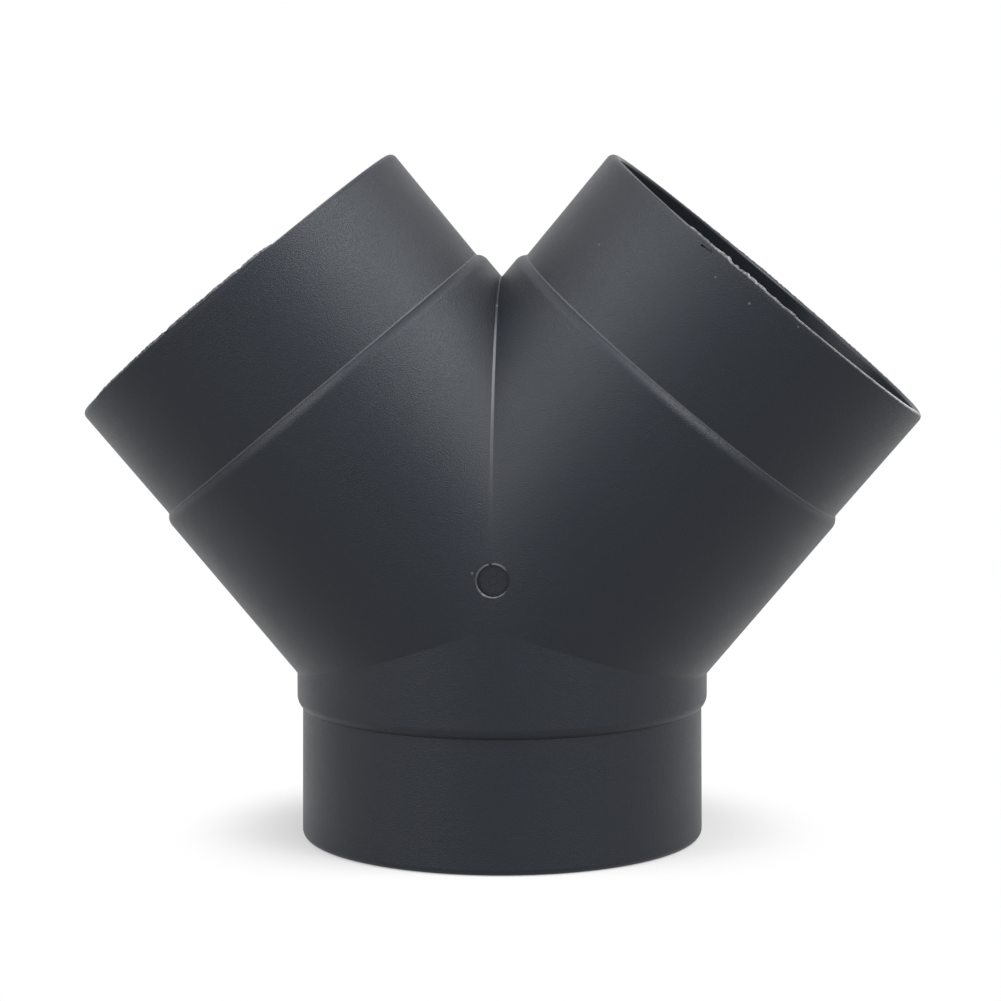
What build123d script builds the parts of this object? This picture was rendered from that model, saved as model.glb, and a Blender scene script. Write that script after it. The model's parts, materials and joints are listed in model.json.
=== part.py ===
from build123d import *
from math import radians, tan
import os

# Duct wye for 75 mm air hose, moulded in one piece from dark plastic.
# It stands on the rim of its lower spigot: the origin is the centre of that rim, +Z is up,
# the two arms lean out along +X and -X, and the round mould mark faces the front (-Y).
# All sizes are in millimetres, angles in degrees.

# Body: three equal round legs that meet at one point
body_radius = 38.3
arm_angle = 40.0  # each arm's axis, from the vertical
crease_rounding = 0.6  # in the crease between the two arms
arm_collar = 6.16  # bare body along an arm, from the crotch between the arms to the shoulder
lower_collar = 6.36  # bare body from where an arm leaves the lower leg's side to the shoulder

# Spigots: three alike, each taking a hose over its outside up to the body's rounded shoulder
shoulder_step = 0.8  # from the body down to a spigot, which leaves it 75 mm across
shoulder_rounding = 2.4
spigot_length = 24.6  # from the mouth to the shoulder
spigot_wall = 2.0
rim_outer_rounding = 1.2
rim_inner_rounding = 0.5

# Mould mark: a shallow round recess in a raised lip, with a small nub in the middle
mark_height = 8.7  # above the crossing of the axes
mark_radius = 2.8
mark_depth = 0.45
mark_lip_width = 0.3
mark_lip_rise = 0.1
mark_nub_radius = 0.7
mark_nub_rise = 0.15

# Worked out from the sizes above
spigot_radius = body_radius - shoulder_step
bore_radius = spigot_radius - spigot_wall  # straight through spigot and body alike
crotch_reach = body_radius / tan(radians(arm_angle))  # along an arm, from the crossing of the axes
corner_reach = body_radius * tan(radians(arm_angle / 2))  # down the lower leg, from the crossing
arm_reach = crotch_reach + arm_collar + spigot_length  # from the crossing to an arm's mouth
centre_height = corner_reach + lower_collar + spigot_length  # of the crossing
shoulder_run = (shoulder_rounding**2 - (shoulder_rounding - shoulder_step) ** 2) ** 0.5
leg_tail = -body_radius  # each leg starts this far behind the crossing, then is mitred
centre = Vector(0, 0, centre_height)
arm_direction = Vector(0, 0, 1).rotate(Axis.Y, arm_angle)
mark_drop = mark_height * arm_direction.X  # from an arm's axis to the crease at the mark
mark_front = (body_radius**2 - mark_drop**2) ** 0.5  # the crease, forward of the axes
mark_cut = mark_depth + mark_lip_rise + body_radius - mark_front  # out past the body on both sides

# Each leg's half section is drawn in a plane whose y is the leg's axis, from the crossing out
lower_plane = Plane(origin=centre, x_dir=(1, 0, 0), z_dir=(0, 1, 0))
right_plane = Plane(origin=centre, x_dir=Vector(1, 0, 0).rotate(Axis.Y, arm_angle), z_dir=(0, -1, 0))

# Each mitre plane halves the angle between two legs
between_arms = Plane(origin=centre, z_dir=(1, 0, 0))
above_right = Plane(origin=centre, z_dir=Vector(0, 0, 1).rotate(Axis.Y, arm_angle / 2))
above_left = Plane(origin=centre, z_dir=Vector(0, 0, 1).rotate(Axis.Y, -arm_angle / 2))

# The mark lies square to the front, where the crease fades out
mark_plane = Plane(
    origin=(0, -mark_front, centre_height + mark_height), x_dir=(1, 0, 0), z_dir=(0, -1, 0)
)


def whole_leg(plane, reach):
    """A leg's outside: body, rounded shoulder, spigot and rounded rim."""
    shoulder = reach - spigot_length
    shoulder_start = shoulder - shoulder_run
    rim_start = reach - rim_outer_rounding
    rim_radius = spigot_radius - rim_outer_rounding
    with BuildPart() as leg:
        with BuildSketch(plane):
            with BuildLine():
                Line((0, leg_tail), (body_radius, leg_tail))
                Line((body_radius, leg_tail), (body_radius, shoulder_start))
                RadiusArc((body_radius, shoulder_start), (spigot_radius, shoulder), -shoulder_rounding)
                Line((spigot_radius, shoulder), (spigot_radius, rim_start))
                RadiusArc((spigot_radius, rim_start), (rim_radius, reach), -rim_outer_rounding)
                Line((rim_radius, reach), (0, reach))
                Line((0, reach), (0, leg_tail))
            make_face()
        revolve(axis=Axis(centre, plane.y_dir))
    return leg.part


def bore(plane, reach):
    """A leg's bore: straight, opening out at the mouth with the rounding of the rim."""
    rim_start = reach - rim_inner_rounding
    rim_radius = bore_radius + rim_inner_rounding
    with BuildPart() as hollow:
        with BuildSketch(plane):
            with BuildLine():
                Line((0, leg_tail), (bore_radius, leg_tail))
                Line((bore_radius, leg_tail), (bore_radius, rim_start))
                RadiusArc((bore_radius, rim_start), (rim_radius, reach), rim_inner_rounding)
                Line((rim_radius, reach), (0, reach))
                Line((0, reach), (0, leg_tail))
            make_face()
        revolve(axis=Axis(centre, plane.y_dir))
    return hollow.part


def mitred_below(leg):
    """What the lower leg keeps, below both of its mitre planes."""
    with BuildPart() as kept:
        add(leg)
        split(bisect_by=above_right, keep=Keep.BOTTOM)
        split(bisect_by=above_left, keep=Keep.BOTTOM)
    return kept.part


def mitred_right(leg):
    """What the right arm keeps, right of the middle and above its mitre plane."""
    with BuildPart() as kept:
        add(leg)
        split(bisect_by=between_arms, keep=Keep.TOP)
        split(bisect_by=above_right, keep=Keep.TOP)
    return kept.part


lower_leg = mitred_below(whole_leg(lower_plane, centre_height))
right_leg = mitred_right(whole_leg(right_plane, arm_reach))
lower_bore = mitred_below(bore(lower_plane, centre_height))
right_bore = mitred_right(bore(right_plane, arm_reach))

# The whole part
with BuildPart() as wye_body:
    add(lower_leg)
    add(right_leg)
    mirror(right_leg, about=Plane.YZ)

    # The crease between the arms runs in the middle plane, over the top from front to back
    creases = wye_body.edges().filter_by(GeomType.ELLIPSE).filter_by(Plane.YZ)
    fillet(creases, crease_rounding)

    # The three bores meet in the middle
    add(lower_bore, mode=Mode.SUBTRACT)
    add(right_bore, mode=Mode.SUBTRACT)
    mirror(right_bore, about=Plane.YZ, mode=Mode.SUBTRACT)

    # Mould mark: lip, recess, nub
    with BuildSketch(mark_plane.offset(-mark_depth)):
        Circle(mark_radius + mark_lip_width)
    extrude(amount=mark_depth + mark_lip_rise)
    with BuildSketch(mark_plane.offset(-mark_depth)):
        Circle(mark_radius)
    extrude(amount=mark_cut, mode=Mode.SUBTRACT)
    with BuildSketch(mark_plane.offset(-mark_depth)):
        Circle(mark_nub_radius)
    extrude(amount=mark_nub_rise)

wye_body.part.label = "wye_body"

os.makedirs("parts", exist_ok=True)
export_step(wye_body.part, "parts/wye_body.step")
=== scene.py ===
import json
import math
import random

import bpy
from mathutils import Matrix, Vector


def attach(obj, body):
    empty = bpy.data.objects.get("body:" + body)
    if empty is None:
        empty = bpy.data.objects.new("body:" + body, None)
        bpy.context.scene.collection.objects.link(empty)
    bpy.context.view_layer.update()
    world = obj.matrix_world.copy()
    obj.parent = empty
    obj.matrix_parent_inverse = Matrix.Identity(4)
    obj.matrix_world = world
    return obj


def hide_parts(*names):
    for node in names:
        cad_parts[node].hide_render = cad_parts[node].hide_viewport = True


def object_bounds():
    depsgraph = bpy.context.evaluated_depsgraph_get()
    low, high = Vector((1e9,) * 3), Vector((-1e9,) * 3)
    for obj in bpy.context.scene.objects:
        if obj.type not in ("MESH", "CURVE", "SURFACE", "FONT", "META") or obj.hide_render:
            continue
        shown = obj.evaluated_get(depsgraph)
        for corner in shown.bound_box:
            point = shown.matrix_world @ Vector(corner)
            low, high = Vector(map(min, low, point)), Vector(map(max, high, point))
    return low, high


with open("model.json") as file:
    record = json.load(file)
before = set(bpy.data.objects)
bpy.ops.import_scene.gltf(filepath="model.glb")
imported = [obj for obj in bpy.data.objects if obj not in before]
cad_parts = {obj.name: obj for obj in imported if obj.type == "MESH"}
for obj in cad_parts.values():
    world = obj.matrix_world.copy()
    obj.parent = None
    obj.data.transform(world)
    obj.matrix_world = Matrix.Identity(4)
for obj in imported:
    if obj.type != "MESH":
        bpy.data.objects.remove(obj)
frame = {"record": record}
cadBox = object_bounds()
mm = 0.001  # sizes below are in millimetres, and Blender works in metres

# Where the moulding's three legs run, from the mounts of the frame
mounts = {mount["name"]: mount for mount in frame["record"]["mounts"]}
rightMount = mounts["right_spigot"]
rightPlace = Vector(rightMount["pos_m"])
rightAxis = Vector(rightMount["axis"]).normalized()
leftAxis = Vector((-rightAxis.x, 0, rightAxis.z))
downAxis = Vector((0, 0, -1))
armAngle = math.atan2(rightAxis.x, rightAxis.z)
crossing = Vector((0, 0, rightPlace.z - rightPlace.x / math.tan(armAngle)))  # of the legs' axes

# What a user would change on the moulding, in millimetres where no other unit is given
wye = {
    "roundSteps": 720,  # flats round each leg
    "armReach": 76.4,  # from the crossing of the legs' axes to an arm's mouth
    "bodyRadius": 38.3,
    "boreRadius": 35.5,
    "spigotRadius": rightMount["dims"]["r_mm"],  # at the mouth
    "spigotLength": 24.72,
    "draft": 0.2,  # how much narrower a spigot is at its root
    "rimOuter": 1.25,  # roundings of the mouths
    "rimInner": 0.5,
    "shoulderRounding": 2.4,
    "roundingSteps": 8,  # in the rim's outer rounding and in the shoulder's
    "rimInnerSteps": 4,
    "ridgeWidth": 0.28,  # tool mark in the corner under an arm's shoulder
    "ridgeRise": 0.06,
    "ridgeTop": (0.35, 0.65),  # the shares of its width between which it is flat
    "creaseBevel": 0.3,  # between the two arms
    "seamBevel": 0.18,  # between an arm and the lower leg
    "innerBevel": 0.3,  # where the bores meet
    # The bevels start clear of the points in front and behind where all the legs meet
    "creaseStart": 2.0,  # above the crossing
    "seamStart": 3.0,  # to the side of it
    "innerStart": 0.02,  # beyond the bore's radius
    "mitreTolerance": 0.001,
    "mergeDistance": 0.02,  # between the legs' points along the mitres
    "sliver": 0.005,  # the boolean cuts leave edges shorter than this
    "smoothAngle": 32,  # degrees
}
wallMiddle = (wye["bodyRadius"] + wye["boreRadius"]) / 2  # splits the outside from the bores


def deselectAll():
    if bpy.context.object and bpy.context.object.mode != "OBJECT":
        bpy.ops.object.mode_set(mode="OBJECT")
    bpy.ops.object.select_all(action="DESELECT")


def useOnly(piece):
    deselectAll()
    piece.select_set(True)
    bpy.context.view_layer.objects.active = piece


def selectEdges(piece, wanted):
    # Leaves the piece in edit mode with just the wanted edges selected
    useOnly(piece)
    bpy.ops.object.mode_set(mode="EDIT")
    bpy.ops.mesh.select_mode(type="EDGE")
    bpy.ops.mesh.select_all(action="DESELECT")
    bpy.ops.object.mode_set(mode="OBJECT")
    points = piece.data.vertices
    for edge in piece.data.edges:
        edge.select = wanted(points[edge.vertices[0]].co, points[edge.vertices[1]].co)
    bpy.ops.object.mode_set(mode="EDIT")


def weigh(piece, name, weights):
    # A vertex group from each point's number and weight
    group = piece.vertex_groups.new(name=name)
    for index, weight in weights.items():
        group.add([index], weight, "REPLACE")


def displace(piece, group, direction, strength):
    # Moves the group's points by their weight's share of the strength, in millimetres
    useOnly(piece)
    bpy.ops.object.modifier_add(type="DISPLACE")
    push = piece.modifiers[-1]
    push.direction = direction
    push.mid_level = 0.0
    push.strength = strength * mm
    push.vertex_group = group
    bpy.ops.object.modifier_apply(modifier=push.name)


def combine(piece, tool, operation):
    # Cuts the tool out of the piece or joins it on, and then deletes the tool
    useOnly(piece)
    bpy.ops.object.modifier_add(type="BOOLEAN")
    cut = piece.modifiers[-1]
    cut.operation = operation
    cut.object = tool
    cut.solver = "EXACT"
    bpy.ops.object.modifier_apply(modifier=cut.name)
    useOnly(tool)
    bpy.ops.object.delete()


def writeAttribute(piece, name, domain, values):
    layer = piece.data.attributes.new(name, "FLOAT", domain)
    for index, value in values.items():
        layer.data[index].value = value


def between(table, x, column):
    # Straight-line reading of one column of a table
    if x <= table[0][0]:
        return table[0][column]
    for low, high in zip(table, table[1:]):
        if x <= high[0]:
            return low[column] + (high[column] - low[column]) * (x - low[0]) / (high[0] - low[0])
    return table[-1][column]


def arc(middle, radius, start, end, steps):
    # Points of an arc in a leg's half section: (radius from the axis, distance along it)
    turns = [math.radians(start + (end - start) * i / steps) for i in range(steps + 1)]
    return [(middle[0] + radius * math.cos(a), middle[1] + radius * math.sin(a)) for a in turns]


def legSection(reach, ridgeRise):
    # Half section of a leg: up the bore, round the rim, back down the spigot, over the shoulder
    bore = wye["boreRadius"]
    spigot = wye["spigotRadius"]
    root = spigot - wye["draft"]
    body = wye["bodyRadius"]
    inner = wye["rimInner"]
    outer = wye["rimOuter"]
    rounding = wye["shoulderRounding"]
    steps = wye["roundingSteps"]
    corner = reach - wye["spigotLength"]
    ridge = root + ridgeRise
    ridgeTop = [corner + wye["ridgeWidth"] * share for share in wye["ridgeTop"]]
    lean = math.degrees(math.acos((ridge - body + rounding) / rounding))
    run = rounding * math.sin(math.radians(lean))
    tail = -body  # the leg starts behind the crossing, and is mitred there
    section = [(bore, tail), (bore, 0.0)]
    section += arc((bore + inner, reach - inner), inner, 180, 90, wye["rimInnerSteps"])
    section += arc((spigot - outer, reach - outer), outer, 90, 0, steps)
    section += [(root, corner + wye["ridgeWidth"]), (ridge, ridgeTop[1]), (ridge, ridgeTop[0])]
    section += arc((body - rounding, corner - run), rounding, lean, 0, steps)
    section += [(body, tail)]
    return section


def buildLeg(name, axis, reach, ridgeRise, mitres):
    # A ring is drawn out along the leg and resized at each point of the section
    section = legSection(reach, ridgeRise)
    radius, distance = section[0]
    deselectAll()
    bpy.ops.mesh.primitive_circle_add(
        vertices=wye["roundSteps"], radius=radius * mm, fill_type="NOTHING",
        location=crossing + axis * distance * mm, rotation=(0, math.atan2(axis.x, axis.z), 0))
    leg = bpy.context.object
    leg.name = name
    bpy.ops.object.transform_apply(location=True, rotation=True, scale=True)
    bpy.ops.object.mode_set(mode="EDIT")
    bpy.ops.mesh.select_all(action="SELECT")
    for nextRadius, nextDistance in section[1:]:
        bpy.ops.mesh.extrude_region_move(
            TRANSFORM_OT_translate={"value": axis * (nextDistance - distance) * mm})
        growth = nextRadius / radius
        bpy.ops.transform.resize(
            value=(growth, growth, growth), center_override=crossing + axis * nextDistance * mm)
        radius, distance = nextRadius, nextDistance
    for normal in mitres:  # keeps what lies on the side that the normal points to
        bpy.ops.mesh.select_all(action="SELECT")
        bpy.ops.mesh.bisect(
            plane_co=crossing, plane_no=normal, clear_inner=True, threshold=wye["mitreTolerance"] * mm)
    bpy.ops.object.mode_set(mode="OBJECT")
    return leg


def buildWye():
    # The mitre planes halve the angles between the legs
    aboveRight = Vector((math.sin(armAngle / 2), 0, math.cos(armAngle / 2)))
    aboveLeft = Vector((-aboveRight.x, 0, aboveRight.z))
    middle = Vector((1, 0, 0))
    reach, rise = wye["armReach"], wye["ridgeRise"]
    lower = buildLeg("lowerLeg", downAxis, crossing.z / mm, 0.0, [-aboveRight, -aboveLeft])
    right = buildLeg("rightLeg", rightAxis, reach, rise, [middle, aboveRight])
    left = buildLeg("leftLeg", leftAxis, reach, rise, [-middle, aboveLeft])
    useOnly(lower)
    right.select_set(True)
    left.select_set(True)
    bpy.ops.object.join()
    body = bpy.context.object
    body.name = "wyeBody"
    bpy.ops.object.mode_set(mode="EDIT")
    bpy.ops.mesh.select_all(action="SELECT")
    bpy.ops.mesh.remove_doubles(threshold=wye["mergeDistance"] * mm)
    bpy.ops.mesh.normals_make_consistent(inside=False)
    bpy.ops.object.mode_set(mode="OBJECT")

    # Soft seams where the legs meet, outside and in the bores
    def onPlane(point, normal):
        return abs((point - crossing).dot(normal)) < 2 * wye["mitreTolerance"] * mm

    def outside(point):
        offset = point - crossing
        axis = rightAxis if point.x > 0 else leftAxis
        if offset.dot(aboveRight) < 0 and offset.dot(aboveLeft) < 0:
            axis = downAxis
        return (offset - axis * offset.dot(axis)).length > wallMiddle * mm

    def crease(a, b):
        high = max(a.z, b.z) > crossing.z + wye["creaseStart"] * mm
        return high and onPlane(a, middle) and onPlane(b, middle) and outside(a)

    def seam(a, b):
        wide = max(abs(a.x), abs(b.x)) > wye["seamStart"] * mm
        shared = any(onPlane(a, normal) and onPlane(b, normal) for normal in (aboveRight, aboveLeft))
        return wide and shared and outside(a)

    def innerSeam(a, b):
        # The lower bore's own line in the middle plane is taken as well, and stays flat
        start = (wye["boreRadius"] + wye["innerStart"]) * mm
        wide = max((a - crossing).length, (b - crossing).length) > start
        shared = any(onPlane(a, normal) and onPlane(b, normal) for normal in (aboveRight, aboveLeft, middle))
        return wide and shared and not outside(a) and not outside(b)

    for wanted, width, steps in (
            (crease, "creaseBevel", 4), (seam, "seamBevel", 2), (innerSeam, "innerBevel", 2)):
        selectEdges(body, wanted)
        chosen = sum(edge.select for edge in body.data.edges)
        bpy.ops.mesh.bevel(offset=wye[width] * mm, segments=steps, affect="EDGES")
        bpy.ops.object.mode_set(mode="OBJECT")
        print("bevel", width, "edges", chosen)
    print("wye body built:", len(body.data.polygons), "faces")
    return body


# Flash left at the mouths
flash = {
    # Degrees round the rim from the front (positive away from the crotch), height in mm, and how
    # pale the torn edge is
    "right": [
        (-180, 0.42, 0), (-168, 0.28, 0), (-144, 0.14, 0), (-120, 0.03, 0), (-108, 0, 0), (-40, 0, 0),
        (-36, 0, 0.1), (-31, 0.05, 0.25), (-29, 0.26, 0.4), (-25, 0.3, 0.35), (-23.5, 0.34, 0.3),
        (-21, 0.28, 0.45), (-19.5, 0.34, 0.7), (-18, 0.5, 0.65), (-16.5, 0.4, 0.7), (-15.5, 0.6, 0.85),
        (-14.5, 0.25, 0.55), (-13.5, 0.12, 0.5), (-12.5, 0.36, 0.6), (-11.5, 0.14, 0.45),
        (-10.5, 0.34, 0.6), (-9.5, 0.4, 0.75), (-8.75, 0.55, 0.8), (-8, 0.38, 0.75), (-6.25, 0.5, 0.85),
        (-5.25, 0.34, 0.75), (-3.75, 0.5, 0.8), (-2.5, 0.34, 0.7), (-1.5, 0.22, 0.55), (0, 0.2, 0.5),
        (0.75, 0.42, 0.65), (1.75, 0.2, 0.5), (5, 0.17, 0.45), (6.5, 0.34, 0.55), (8, 0.28, 0.55),
        (9.5, 0.06, 0.4), (21, 0, 0.4), (36, 0, 0.55), (46, 0, 0.8), (52, 0, 1), (68, 0, 1),
        (74, 0, 0.7), (84, 0, 0.2), (96, 0, 0), (108, 0.15, 0), (120, 0.25, 0), (144, 0.34, 0),
        (168, 0.36, 0), (180, 0.42, 0),
    ],
    "left": [
        (-60, 0, 0), (-28, 0, 0.2), (-22, 0.06, 0.35), (-20.5, 0.35, 0.45), (-18, 0.55, 0.4),
        (-13, 0.57, 0.35), (-11.75, 0.54, 0.3), (-11, 0.4, 0), (-10.25, 0.56, 0.35), (-4, 0.6, 0.4),
        (-2.75, 0.7, 0.5), (-1.75, 0.74, 0.5), (-0.75, 0.6, 0.4), (3, 0.6, 0.35), (9, 0.66, 0.4),
        (14.75, 0.64, 0.3), (15.5, 0.44, 0), (16.5, 0.48, 0), (17.25, 0.61, 0.4), (25.5, 0.6, 0.45),
        (26.5, 0.52, 0.4), (32.5, 0.5, 0.4), (33.5, 0.43, 0.35), (42, 0.38, 0.35), (48, 0.24, 0.25),
        (54, 0, 0.2), (62, 0, 0),
    ],
    "tallest": 1.0,  # mm, which the lists may not pass
    "ragged": 0.06,  # mm up or down, where the flash is higher than raggedFrom
    "raggedFrom": 0.08,
    "raggedStep": 0.5,  # degrees
    "seed": 11,
    # Degrees round the rim, and how far its rounding is filled out to a corner there
    "square": {
        "right": [(-75, 0), (-45, 1), (70, 1), (86, 0)],
        "left": [(-60, 0), (-30, 1), (52, 1), (68, 0)],
    },
    "cornerRounding": 0.3,  # mm, left on that corner
    "cornerSpread": 0.4,  # radians to each side of it
    # The rings of the rim's rounding, from 0 on the spigot's side to the last on the rim's face:
    # how much of the height each takes, and where the pale edge starts
    "lift": [(3, 0), (4, 1), (5, 1), (8.2, 0)],
    "paleFoot": [(2, 0), (3, 1)],
    "paleTop": [(3, 0), (4, 1)],
    "footShare": {"right": 0.2, "left": 0.0},  # the left edge is pale only near its top
    "tolerance": 0.01,  # mm
}


def raiseFlash(body):
    # Fills out the rounding of each arm's outer rim in front, then moves its edge out along the arm
    paleness = {}
    nearness = {}
    rough = random.Random(flash["seed"])
    outer = wye["rimOuter"]
    rimTop = wye["armReach"] - outer
    cornerGain = math.sqrt(2) - 1  # how much further out a corner lies than its rounding, per radius
    for side, axis, sign in (("right", rightAxis, 1), ("left", leftAxis, -1)):
        away = Vector((sign * math.cos(armAngle), 0, -math.sin(armAngle)))
        square = {}
        edge = {}
        jitter = {}
        for point in body.data.vertices:
            offset = point.co - crossing
            along = offset.dot(axis) / mm
            if along < rimTop + flash["tolerance"] or point.co.x * sign < 0:
                continue
            radial = offset - axis * offset.dot(axis)
            outward = radial.length / mm - (wye["spigotRadius"] - outer)
            if outward < -flash["tolerance"]:
                continue
            turn = math.degrees(math.atan2(radial.dot(away), -radial.y))

            # The slope is 0 on the spigot's side and a quarter turn on the rim's face
            slope = math.atan2(along - rimTop, max(0.0, outward))
            fill = outer / max(math.cos(slope), math.sin(slope)) - outer
            nearCorner = max(0.0, 1 - abs(slope - math.pi / 4) / flash["cornerSpread"])
            fill -= flash["cornerRounding"] * nearCorner * cornerGain
            fill *= between(flash["square"][side], turn, 1)
            if fill > 0:
                square[point.index] = fill / (outer * cornerGain)

            ring = math.degrees(slope) / (90 / wye["roundingSteps"])
            step = round(turn / flash["raggedStep"])
            jitter.setdefault(step, rough.uniform(-1, 1))
            height = between(flash[side], turn, 1)
            if height > flash["raggedFrom"]:
                height += flash["ragged"] * jitter[step]
            share = between(flash["lift"], ring, 1)
            if height > 0 and share > 0:
                edge[point.index] = min(1.0, height * share / flash["tallest"])

            foot = flash["footShare"][side]
            nearFoot = between(flash["paleFoot"], ring, 1)
            nearTop = between(flash["paleTop"], ring, 1)
            paleness[point.index] = between(flash[side], turn, 2)
            nearness[point.index] = foot * nearFoot + (1 - foot) * nearTop
        weigh(body, side + "Square", square)
        weigh(body, side + "Flash", edge)
        displace(body, side + "Square", "NORMAL", outer * cornerGain)
        displace(body, side + "Flash", "X", flash["tallest"] * axis.x)
        displace(body, side + "Flash", "Z", flash["tallest"] * axis.z)
    writeAttribute(body, "tornEdge", "POINT", paleness)
    writeAttribute(body, "nearEdge", "POINT", nearness)
    print("flash raised on", len(paleness), "points")


# Round mould mark at the foot of the crease, in millimetres
mark = {
    "height": 8.45,  # above the crossing of the legs' axes
    "aside": 0.5,  # the mark stands a little right of the middle
    "front": 37.886,  # of the crease at the mark, from the axes
    "radius": 2.84,
    "lipWidth": 0.34,
    "depth": 0.45,
    "nubRadius": 0.7,
    "nubRise": 0.15,
    "nubEdge": 0.2,
    "root": 1.2,  # how far the cup reaches into the wall
    "toolLength": 4.0,
    "clearance": 0.05,  # the hole's depth beyond the recess
    "sides": 96,
    # Degrees round from the right, anticlockwise, and the lip's height above the crease
    "lip": [
        (0, 0.16), (30, 0.1), (45, 0.14), (60, 0.14), (90, 0.12), (120, 0.14), (135, 0.2), (150, 0.27),
        (180, 0.33), (210, 0.37), (225, 0.38), (237, 0.4), (248, 0.37), (262, 0.32), (275, 0.36),
        (290, 0.32), (305, 0.37), (318, 0.3), (330, 0.2), (360, 0.16),
    ],
    "tallest": 0.4,
    "edgeShare": 0.8,  # of the crown's height, at the lip's two edges
    "edgeWidth": 0.05,
    "ragged": 0.02,
    "seed": 5,
    "tolerance": 0.01,
}
markCentre = Vector((mark["aside"] * mm, -mark["front"] * mm, crossing.z + mark["height"] * mm))


def buildMark(body):
    # A hole is bored into the skin, and a cup with recess, nub and lip is joined in
    facing = (math.radians(90), 0, 0)
    outer = mark["radius"] + mark["lipWidth"]
    holeMiddle = mark["depth"] + mark["clearance"] - mark["toolLength"] / 2
    deselectAll()
    bpy.ops.mesh.primitive_cylinder_add(
        vertices=mark["sides"], radius=(mark["radius"] + mark["lipWidth"] / 2) * mm,
        depth=mark["toolLength"] * mm, rotation=facing, location=markCentre + Vector((0, holeMiddle * mm, 0)))
    hole = bpy.context.object
    hole.name = "markHole"

    deselectAll()
    bpy.ops.mesh.primitive_circle_add(
        vertices=mark["sides"], radius=outer * mm, fill_type="NGON", rotation=facing,
        location=markCentre + Vector((0, mark["root"] * mm, 0)))
    cup = bpy.context.object
    cup.name = "markCup"
    bpy.ops.object.transform_apply(location=True, rotation=True, scale=True)
    bpy.ops.object.mode_set(mode="EDIT")
    bpy.ops.mesh.select_mode(type="FACE")
    bpy.ops.mesh.select_all(action="SELECT")
    bpy.ops.mesh.extrude_region_move(TRANSFORM_OT_translate={"value": (0, -mark["root"] * mm, 0)})
    for half in range(2):  # the lip's crown runs along the middle of its width
        bpy.ops.mesh.inset(thickness=mark["lipWidth"] * 0.5 * mm, depth=0)
    bpy.ops.mesh.extrude_region_move(TRANSFORM_OT_translate={"value": (0, mark["depth"] * mm, 0)})
    bpy.ops.mesh.inset(thickness=(mark["radius"] - mark["nubRadius"]) * mm, depth=0)
    bpy.ops.mesh.extrude_region_move(TRANSFORM_OT_translate={"value": (0, -mark["nubRise"] * mm, 0)})
    bpy.ops.mesh.inset(thickness=mark["nubEdge"] * mm, depth=0)
    bpy.ops.mesh.select_mode(type="VERT")
    bpy.ops.mesh.select_all(action="SELECT")
    bpy.ops.mesh.normals_make_consistent(inside=False)
    bpy.ops.object.mode_set(mode="OBJECT")

    # The lip rises unevenly, by the list
    rough = random.Random(mark["seed"])
    jitter = {}
    heights = {}
    for point in cup.data.vertices:
        offset = point.co - markCentre
        radius = math.hypot(offset.x, offset.z) / mm
        if abs(offset.y) > mark["tolerance"] * mm or radius < mark["radius"] - 2 * mark["tolerance"]:
            continue
        turn = math.degrees(math.atan2(offset.z, offset.x)) % 360
        step = round(turn / (360 / mark["sides"]))
        jitter.setdefault(step, rough.uniform(-mark["ragged"], mark["ragged"]))
        height = between(mark["lip"], turn, 1) + jitter[step]
        if not mark["radius"] + mark["edgeWidth"] < radius < outer - mark["edgeWidth"]:
            height *= mark["edgeShare"]
        heights[point.index] = max(0.0, min(mark["tallest"], height))
    weigh(cup, "markLip", heights)
    displace(cup, "markLip", "Y", -1.0)  # a weight of 1 is 1 mm

    combine(body, hole, "DIFFERENCE")
    combine(body, cup, "UNION")
    print("mould mark cut:", len(body.data.polygons), "faces")


# Short crack torn into the skin just under the right mouth's edge, in millimetres
crack = {
    "start": (36.8, -34.2, 112.3),
    "end": (38.7, -35.1, 111.1),
    "width": 0.34,
    "depth": 0.45,
}


def cutCrack(body):
    # The blade lies half in the skin, which leaves the crack with its depth
    start = Vector(crack["start"]) * mm
    end = Vector(crack["end"]) * mm
    middle = (start + end) / 2
    outward = middle - crossing
    outward = (outward - rightAxis * outward.dot(rightAxis)).normalized()
    run = end - start
    run = (run - outward * run.dot(outward)).normalized()
    turn = Matrix((run, outward.cross(run), outward)).transposed().to_euler()
    deselectAll()
    bpy.ops.mesh.primitive_cube_add(
        size=1, location=middle, rotation=turn,
        scale=((end - start).length, crack["width"] * mm, 2 * crack["depth"] * mm))
    blade = bpy.context.object
    blade.name = "crackBlade"
    combine(body, blade, "DIFFERENCE")
    print("crack cut")


def cleanCuts(body):
    # Takes out the slivers that the boolean cuts leave
    useOnly(body)
    bpy.ops.object.mode_set(mode="EDIT")
    bpy.ops.mesh.select_mode(type="VERT")
    bpy.ops.mesh.select_all(action="SELECT")
    bpy.ops.mesh.dissolve_degenerate(threshold=wye["sliver"] * mm)
    bpy.ops.mesh.remove_doubles(threshold=wye["sliver"] * mm)
    bpy.ops.mesh.normals_make_consistent(inside=False)
    bpy.ops.object.mode_set(mode="OBJECT")


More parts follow.
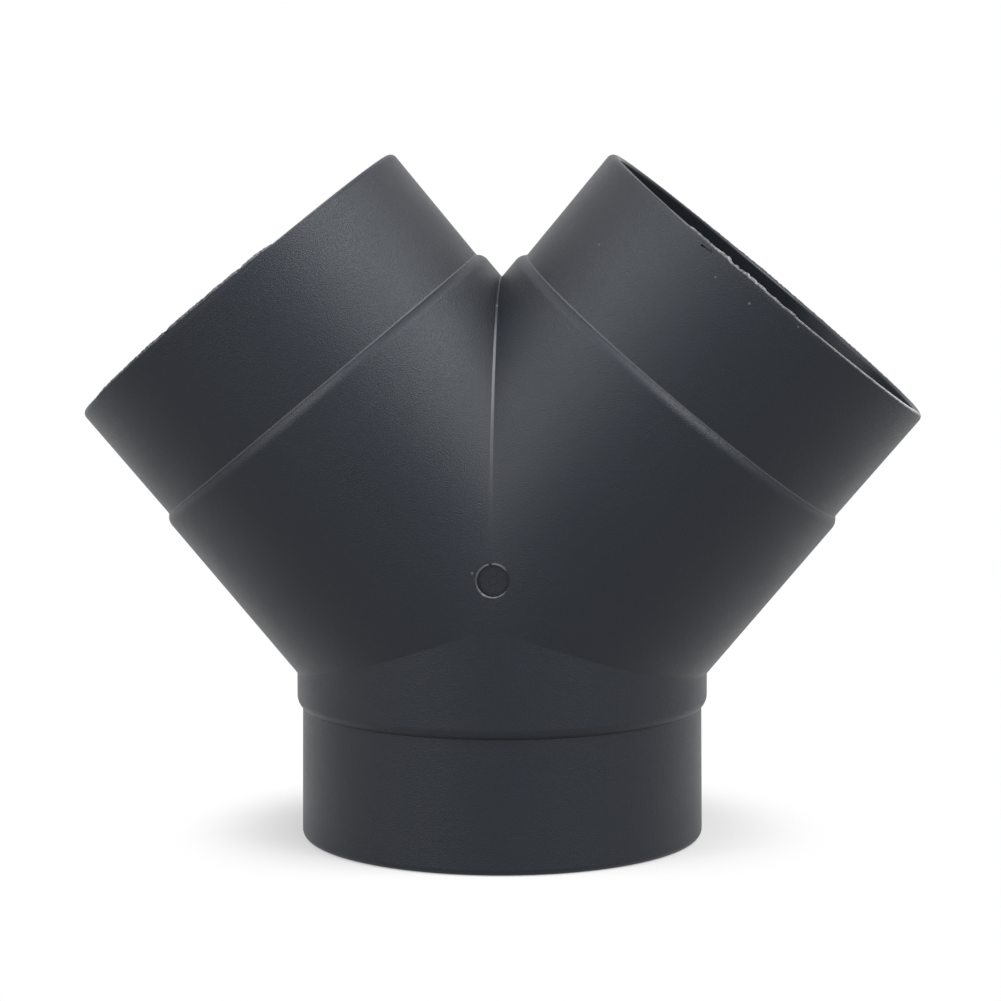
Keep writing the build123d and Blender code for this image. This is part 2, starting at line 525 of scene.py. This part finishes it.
# How much paler the thin raised lines are painted: a painted highlight along the shoulder ridges, the crease
# and the mould mark's lip, where they catch the light
paintedHighlightLine = {
    "ridge": 0.1,
    "ridgeDepth": 1.4,  # mm inside the body's radius
    # Millimetres above the floor, and how pale the crease's painted highlight is
    "crease": [
        (58, 0), (66, 0.02), (72, 0.06), (76, 0.1), (80, 0.13), (84, 0.21), (90, 0.26), (95, 0.22),
        (98, 0.07), (101, 0),
    ],
    "creaseDepth": 0.6,  # mm inside the body's radius
    # Degrees round the mark from the right, anticlockwise, and how pale the lip's painted highlight is
    "lip": [
        (0, 0), (30, 0), (42, 0.16), (60, 0.2), (75, 0.26), (90, 0.2), (110, 0.2), (135, 0.12),
        (180, 0.07), (200, 0.12), (215, 0.22), (226, 0.14), (236, 0.5), (246, 0.2), (256, 0.3),
        (266, 0.14), (280, 0.32), (290, 0.16), (302, 0.3), (312, 0.14), (325, 0), (360, 0),
    ],
    "boreMargin": 0.1,  # mm outside the bore's radius
}


def markHighlightLinesAndBores(body):
    # Marks the faces of the raised lines with the paleness of their painted highlight, and the faces of the
    # bores
    points = body.data.vertices
    corner = wye["armReach"] - wye["spigotLength"]
    ridgeHalf = wye["ridgeWidth"] / 2
    margin = mark["tolerance"]

    def onLip(face):
        # Level with the skin or proud of it, with every point on the lip's ring
        if face.center.y >= markCentre.y + 2 * margin * mm:
            return False
        for number in face.vertices:
            offset = points[number].co - markCentre
            reach = math.hypot(offset.x, offset.z) / mm
            if not mark["radius"] - margin < reach < mark["radius"] + mark["lipWidth"] + margin:
                return False
        return True

    lines = {}
    bores = {}
    for face in body.data.polygons:
        spot = face.center
        offset = spot - crossing
        axis = rightAxis if spot.x > 0 else leftAxis
        along = offset.dot(axis) / mm
        fromArm = offset - axis * offset.dot(axis)
        fromLower = Vector((spot.x, spot.y, 0))
        radius = fromArm.length / mm
        outward = fromArm if spot.z > crossing.z else fromLower
        nearest = min(radius, fromLower.length / mm)
        if nearest < wye["boreRadius"] + paintedHighlightLine["boreMargin"] and face.normal.dot(outward) < 0:
            bores[face.index] = 1.0
        depth = wye["bodyRadius"] - radius
        onRidge = abs(along - corner - ridgeHalf) < ridgeHalf
        onCrease = abs(spot.x) < wye["creaseBevel"] * mm and spot.z > markCentre.z
        # The ridge, the crease and the lip are painted paler, as a painted highlight where they catch the
        # light
        if onRidge and depth < paintedHighlightLine["ridgeDepth"]:
            lines[face.index] = paintedHighlightLine["ridge"]
        elif onCrease and depth < paintedHighlightLine["creaseDepth"]:
            lines[face.index] = between(paintedHighlightLine["crease"], spot.z / mm, 1)
        elif onLip(face):
            turn = math.degrees(math.atan2(spot.z - markCentre.z, spot.x - markCentre.x)) % 360
            lines[face.index] = between(paintedHighlightLine["lip"], turn, 1)
    writeAttribute(body, "paintedHighlightLine", "FACE", lines)
    writeAttribute(body, "bore", "FACE", bores)
    print("pale lines on", len(lines), "faces, bore of", len(bores))


def addNode(tree, kind, place, settings=None, links=None):
    node = tree.nodes.new(kind)
    node.location = place
    for name, value in (settings or {}).items():
        if isinstance(name, int) or name in node.inputs:
            node.inputs[name].default_value = value
        else:
            setattr(node, name, value)
    for name, source in (links or {}).items():
        tree.links.new(source, node.inputs[name])
    return node


def hexColour(text):
    # sRGB hex to the linear values that Blender works in
    parts = [int(text[i:i + 2], 16) / 255 for i in (1, 3, 5)]
    return tuple(p / 12.92 if p <= 0.04045 else ((p + 0.055) / 1.055) ** 2.4 for p in parts) + (1.0,)


plastic = {
    "colour": "#0e1219",
    "ior": 1.5,
    "specular": 0.31,  # a matt mould surface throws back less than a polished one
    "sheenTint": "#f3f8ff",
    "roughness": 0.41,
    "boreRoughness": 0.3,
    "cloud": 14.0,  # mm across the soft rubbed patches
    "cloudBand": (0.3, 0.7),  # of their noise, from the least to the most
    "cloudRoughness": 0.03,  # more or less, in those patches
    "grain": 0.2,  # mm across one grain of the mould's finish, drawn as coarse as it needs to show
    "grainDepth": 0.09,  # mm
    "tornAndHighlightColour": "#a8a9ad",  # where flash broke off, and the painted highlight on the raised lines
    "tornBand": (0.5, 0.75),  # of nearEdge, from the plain skin to the torn edge
    "fleck": 0.6,  # mm across the flecks of the torn edge
    "fleckBand": (0.35, 0.65),  # of their noise, from the least to the most
    "fleckFloor": 0.25,  # how pale the torn edge stays between its flecks
    "speckPaleness": 0.22,
    "speckCore": 0.3,  # the share of a speck's radius that is as pale as that
    # Pale specks in the skin, and the worn lowest edge of the right mouth: (x, y, z, radius) in mm
    "specks": [
        (21.0, -16.4, 122.3, 0.2), (9.0, -10.2, 111.7, 0.25), (14.8, -19.8, 112.1, 0.22),
        (18.7, -24.0, 111.8, 0.25), (39.3, -36.2, 106.8, 0.22), (45.2, -37.4, 102.3, 0.3),
        (53.7, -36.8, 98.2, 0.25), (-3.2, -38.1, 54.7, 0.28), (0.3, -34.1, 71.7, 0.25),
        (-0.1, -14.5, 100.2, 0.35), (75.6, -9.5, 80.6, 1.6),
    ],
}


def palePlaces(tree, place):
    # 0 for the plain skin, up to 1 where it is painted pale: the torn edge of the flash, the specks, and a
    # painted highlight on the raised lines
    torn = addNode(tree, "ShaderNodeAttribute", (-1500, 500), {"attribute_name": "tornEdge"})
    near = addNode(tree, "ShaderNodeAttribute", (-1500, 700), {"attribute_name": "nearEdge"})
    # Painted highlight on the raised lines: the shoulder ridges, the crease and the mark's lip
    line = addNode(tree, "ShaderNodeAttribute", (-1100, 500), {"attribute_name": "paintedHighlightLine"})
    low, high = plastic["fleckBand"]
    flecks = addNode(
        tree, "ShaderNodeTexNoise", (-1300, 300),
        {"Scale": 1 / (plastic["fleck"] * mm), "Detail": 2.0}, {"Vector": place})
    flecks = addNode(
        tree, "ShaderNodeMapRange", (-1100, 300),
        {"From Min": low, "From Max": high, "To Min": plastic["fleckFloor"]}, {"Value": flecks.outputs[0]})
    low, high = plastic["tornBand"]
    near = addNode(
        tree, "ShaderNodeMapRange", (-1300, 700),
        {"From Min": low, "From Max": high}, {"Value": near.outputs["Fac"]})
    pale = addNode(
        tree, "ShaderNodeMath", (-900, 400),
        {"operation": "MULTIPLY"}, {0: torn.outputs["Fac"], 1: flecks.outputs[0]})
    pale = addNode(
        tree, "ShaderNodeMath", (-700, 550),
        {"operation": "MULTIPLY"}, {0: pale.outputs[0], 1: near.outputs[0]})
    pale = addNode(
        tree, "ShaderNodeMath", (-700, 450),
        {"operation": "MAXIMUM"}, {0: pale.outputs[0], 1: line.outputs["Fac"]})
    for number, (x, y, z, radius) in enumerate(plastic["specks"]):
        row = -500 - 160 * number
        core = plastic["speckCore"] * radius
        away = addNode(
            tree, "ShaderNodeVectorMath", (-1300, row),
            {"operation": "DISTANCE", 1: (x * mm, y * mm, z * mm)}, {0: place})
        spot = addNode(
            tree, "ShaderNodeMapRange", (-1100, row),
            {"From Min": radius * mm, "From Max": core * mm, "To Max": plastic["speckPaleness"]},
            {"Value": away.outputs["Value"]})
        pale = addNode(
            tree, "ShaderNodeMath", (-900, row),
            {"operation": "MAXIMUM"}, {0: pale.outputs[0], 1: spot.outputs[0]})
    return pale.outputs[0]


def mouldedPlastic():
    # Charcoal ABS, injection moulded in a fine spark-eroded mould: matt, with an even fine grain
    material = bpy.data.materials.new("mouldedCharcoalPlastic")
    material.use_nodes = True
    tree = material.node_tree
    tree.nodes.clear()
    place = addNode(tree, "ShaderNodeTexCoord", (-1500, 0)).outputs["Object"]
    bore = addNode(tree, "ShaderNodeAttribute", (-900, 150), {"attribute_name": "bore"}).outputs["Fac"]
    # Paler where the flash tore and at the specks, and painted paler as a highlight on the raised lines
    colour = addNode(
        tree, "ShaderNodeMix", (-500, 300),
        {"data_type": "RGBA", 6: hexColour(plastic["colour"]), 7: hexColour(plastic["tornAndHighlightColour"])},
        {0: palePlaces(tree, place)})

    # Soft rubbed patches change how matt it is
    low, high = plastic["cloudBand"]
    smoother = plastic["roughness"] - plastic["cloudRoughness"]
    rougher = plastic["roughness"] + plastic["cloudRoughness"]
    cloud = addNode(
        tree, "ShaderNodeTexNoise", (-900, 0),
        {"Scale": 1 / (plastic["cloud"] * mm), "Detail": 3.0}, {"Vector": place})
    rubbed = addNode(
        tree, "ShaderNodeMapRange", (-700, 0),
        {"From Min": low, "From Max": high, "To Min": smoother, "To Max": rougher},
        {"Value": cloud.outputs[0]})

    # The core that made the bores was polished smoother than the mould outside, with no grain
    finish = addNode(
        tree, "ShaderNodeMix", (-500, 50),
        {"data_type": "FLOAT", 3: plastic["boreRoughness"]}, {0: bore, 2: rubbed.outputs[0]})
    grain = addNode(
        tree, "ShaderNodeTexNoise", (-900, -200),
        {"Scale": 1 / (plastic["grain"] * mm), "Detail": 1.0}, {"Vector": place})
    texture = addNode(
        tree, "ShaderNodeMix", (-700, -200),
        {"data_type": "FLOAT", 3: 0.5}, {0: bore, 2: grain.outputs[0]})
    bump = addNode(
        tree, "ShaderNodeBump", (-500, -200),
        {"Strength": 1.0, "Distance": plastic["grainDepth"] * mm}, {"Height": texture.outputs[0]})

    sheenTint = hexColour(plastic["sheenTint"])
    surface = addNode(
        tree, "ShaderNodeBsdfPrincipled", (0, 0),
        {"IOR": plastic["ior"], "Specular IOR Level": plastic["specular"], "Specular Tint": sheenTint},
        {"Base Color": colour.outputs[2], "Roughness": finish.outputs[0], "Normal": bump.outputs[0]})
    addNode(tree, "ShaderNodeOutputMaterial", (300, 0), links={"Surface": surface.outputs[0]})
    return material


def finishBody(body):
    body.data.materials.clear()
    body.data.materials.append(mouldedPlastic())
    useOnly(body)
    bpy.ops.object.shade_smooth_by_angle(angle=math.radians(wye["smoothAngle"]))
    bpy.ops.object.modifier_add(type="WEIGHTED_NORMAL")
    body.modifiers[-1].keep_sharp = True
    bpy.ops.object.modifier_apply(modifier=body.modifiers[-1].name)
    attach(body, "root")
    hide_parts("wye_body")


# The room round the part, in metres
studio = {
    "floorSize": 12.0,
    "floorColour": "#a0a0a0",
    "floorGlow": 0.4,  # lifts the shadow near the part to the paleness it has on white paper
    "whiteFrom": 0.036,  # from the middle of the part, where the floor starts to turn plain white
    "whiteAt": 0.063,
    "fill": 0.1,  # light of the room itself
    "aim": 0.07,  # height that the softboxes face
    "reach": 1.1,  # from there to each softbox
    "softbox": 0.7,  # side of each
    # Softboxes: degrees round from the front (positive to the right), degrees up, watts
    "lamps": {
        "rightSoftbox": (65, 45, 11.0), "leftSoftbox": (-65, 45, 7.2), "frontLeftSoftbox": (-40, 20, 4.8),
        "frontRightSoftbox": (40, 20, 2.6), "rightHighSoftbox": (30, 45, 3.1),
        "rightSideSoftbox": (100, 45, 2.8), "leftSideSoftbox": (-100, 45, 1.0),
        "overheadSoftbox": (0, 85, 4.5),
    },
}


def seenRays(tree, x, y):
    # 1 where something is seen, straight on, in gloss or through glass, and 0 where it gives light
    ray = addNode(tree, "ShaderNodeLightPath", (x, y))
    seen = addNode(
        tree, "ShaderNodeMath", (x + 200, y), {"operation": "ADD"},
        {0: ray.outputs["Is Camera Ray"], 1: ray.outputs["Is Glossy Ray"]})
    seen = addNode(
        tree, "ShaderNodeMath", (x + 400, y), {"operation": "ADD", "use_clamp": True},
        {0: seen.outputs[0], 1: ray.outputs["Is Transmission Ray"]})
    return seen.outputs[0]


def whitePaper():
    # White paper: it takes the part's soft shadow, and further out it reads as plain white
    material = bpy.data.materials.new("whitePaper")
    material.use_nodes = True
    tree = material.node_tree
    tree.nodes.clear()
    place = addNode(tree, "ShaderNodeTexCoord", (-1100, 0)).outputs["Object"]
    away = addNode(tree, "ShaderNodeVectorMath", (-900, 0), {"operation": "LENGTH"}, {0: place})
    outer = addNode(
        tree, "ShaderNodeMapRange", (-700, 0),
        {"interpolation_type": "SMOOTHSTEP", "From Min": studio["whiteFrom"], "From Max": studio["whiteAt"]},
        {"Value": away.outputs["Value"]})
    lit = addNode(tree, "ShaderNodeBsdfDiffuse", (-500, -100), {"Color": hexColour(studio["floorColour"])})
    glow = addNode(tree, "ShaderNodeEmission", (-500, -250), {"Strength": studio["floorGlow"]})
    near = addNode(tree, "ShaderNodeAddShader", (-300, -150), links={0: lit.outputs[0], 1: glow.outputs[0]})
    white = addNode(tree, "ShaderNodeEmission", (-300, -300), {"Strength": 1.0})
    paper = addNode(
        tree, "ShaderNodeMixShader", (-100, -100),
        links={0: outer.outputs[0], 1: near.outputs[0], 2: white.outputs[0]})
    both = addNode(
        tree, "ShaderNodeMixShader", (100, 0),
        links={0: seenRays(tree, -1100, 300), 1: lit.outputs[0], 2: paper.outputs[0]})
    addNode(tree, "ShaderNodeOutputMaterial", (300, 0), links={"Surface": both.outputs[0]})
    return material


def buildFloor():
    deselectAll()
    bpy.ops.mesh.primitive_plane_add(size=studio["floorSize"], location=(0, 0, cadBox[0].z))
    floor = bpy.context.object
    floor.name = "studioFloor"
    floor.data.materials.append(whitePaper())


def buildRoom():
    # Plain white where it is seen, and a weak even fill where it lights the part
    world = bpy.data.worlds.new("whiteStudio")
    bpy.context.scene.world = world
    world.use_nodes = True
    tree = world.node_tree
    tree.nodes.clear()
    plainWhite = hexColour("#ffffff")
    room = addNode(
        tree, "ShaderNodeBackground", (-300, -50), {"Color": plainWhite, "Strength": studio["fill"]})
    white = addNode(
        tree, "ShaderNodeBackground", (-300, -200), {"Color": plainWhite, "Strength": 1.0})
    both = addNode(
        tree, "ShaderNodeMixShader", (0, 0),
        links={0: seenRays(tree, -900, 0), 1: room.outputs[0], 2: white.outputs[0]})
    addNode(tree, "ShaderNodeOutputWorld", (200, 0), links={"Surface": both.outputs[0]})


def buildLamps():
    aim = Vector((0, 0, studio["aim"]))
    for name, (around, up, power) in studio["lamps"].items():
        around, up = math.radians(around), math.radians(up)
        toLamp = Vector((math.sin(around) * math.cos(up), -math.cos(around) * math.cos(up), math.sin(up)))
        turn = (-toLamp).to_track_quat("-Z", "Y").to_euler()
        bpy.ops.object.light_add(type="AREA", location=aim + toLamp * studio["reach"], rotation=turn)
        light = bpy.context.object
        light.name = name
        light.data.size = studio["softbox"]
        light.data.energy = power


camera = {
    "place": (36.2442, -662.2433, 145.7056),  # mm
    "turn": 3.1543,  # degrees to the left
    "tilt": 7.1186,  # degrees down
    "roll": -0.0978,
    "lens": 129.08,  # mm, on a sensor of the width below
    "sensor": 36.0,
    "nearest": 0.01,  # metres
}


def buildCamera():
    bpy.ops.object.camera_add(location=Vector(camera["place"]) * mm)
    eye = bpy.context.object
    turn = (Matrix.Rotation(math.radians(camera["turn"]), 3, "Z")
            @ Matrix.Rotation(math.radians(90 - camera["tilt"]), 3, "X")
            @ Matrix.Rotation(math.radians(camera["roll"]), 3, "Z"))
    eye.rotation_euler = turn.to_euler()
    eye.data.sensor_width = camera["sensor"]
    eye.data.lens = camera["lens"]
    eye.data.clip_start = camera["nearest"]
    bpy.context.scene.camera = eye
    bpy.context.scene.view_settings.view_transform = "Standard"


body = buildWye()
raiseFlash(body)
buildMark(body)
cutCrack(body)
cleanCuts(body)
markHighlightLinesAndBores(body)
finishBody(body)
buildFloor()
buildRoom()
buildLamps()
buildCamera()
print("studio and camera set")
